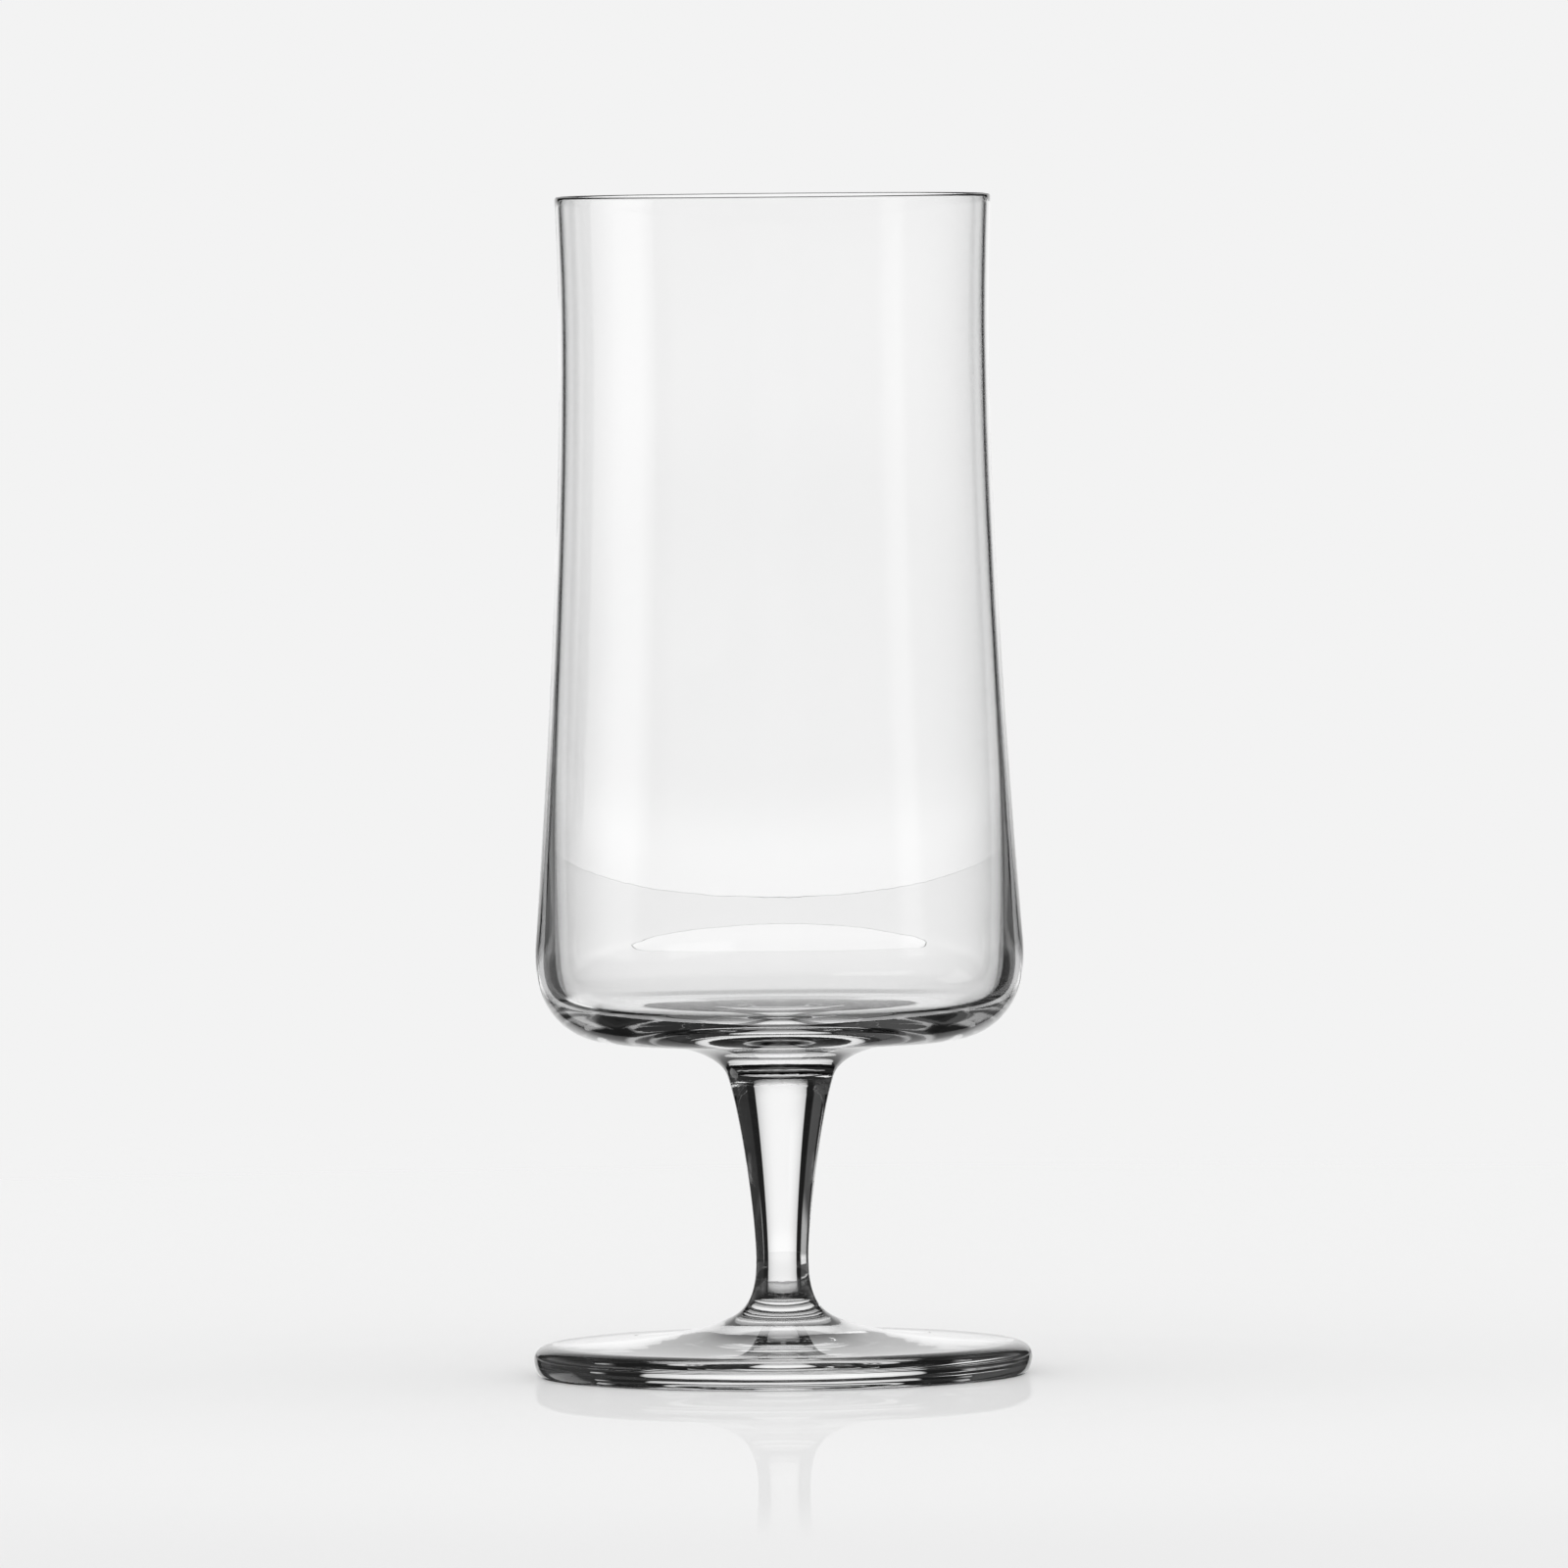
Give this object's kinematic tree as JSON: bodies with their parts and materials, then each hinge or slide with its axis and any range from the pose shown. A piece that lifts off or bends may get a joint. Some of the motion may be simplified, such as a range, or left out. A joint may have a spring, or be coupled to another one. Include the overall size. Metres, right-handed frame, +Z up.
{
  "type": "pilsner glass",
  "caption": "Stemmed pilsner glass with a tall waisted bowl on a thick base, a short solid stem and a round foot, in clear glass.",
  "frame": {"origin": "middle of the table face, on the glass's axis", "axes": "+Z up the glass's axis of revolution, from the foot to the rim; X and Y are alike"},
  "size_m": [0.077, 0.077, 0.182],
  "materials": {
    "clear_glass": "clear, polished and colourless"
  },
  "bodies": {
    "root": {"bowl": "clear_glass", "stem": "clear_glass", "foot": "clear_glass"}
  },
  "joints": []
}
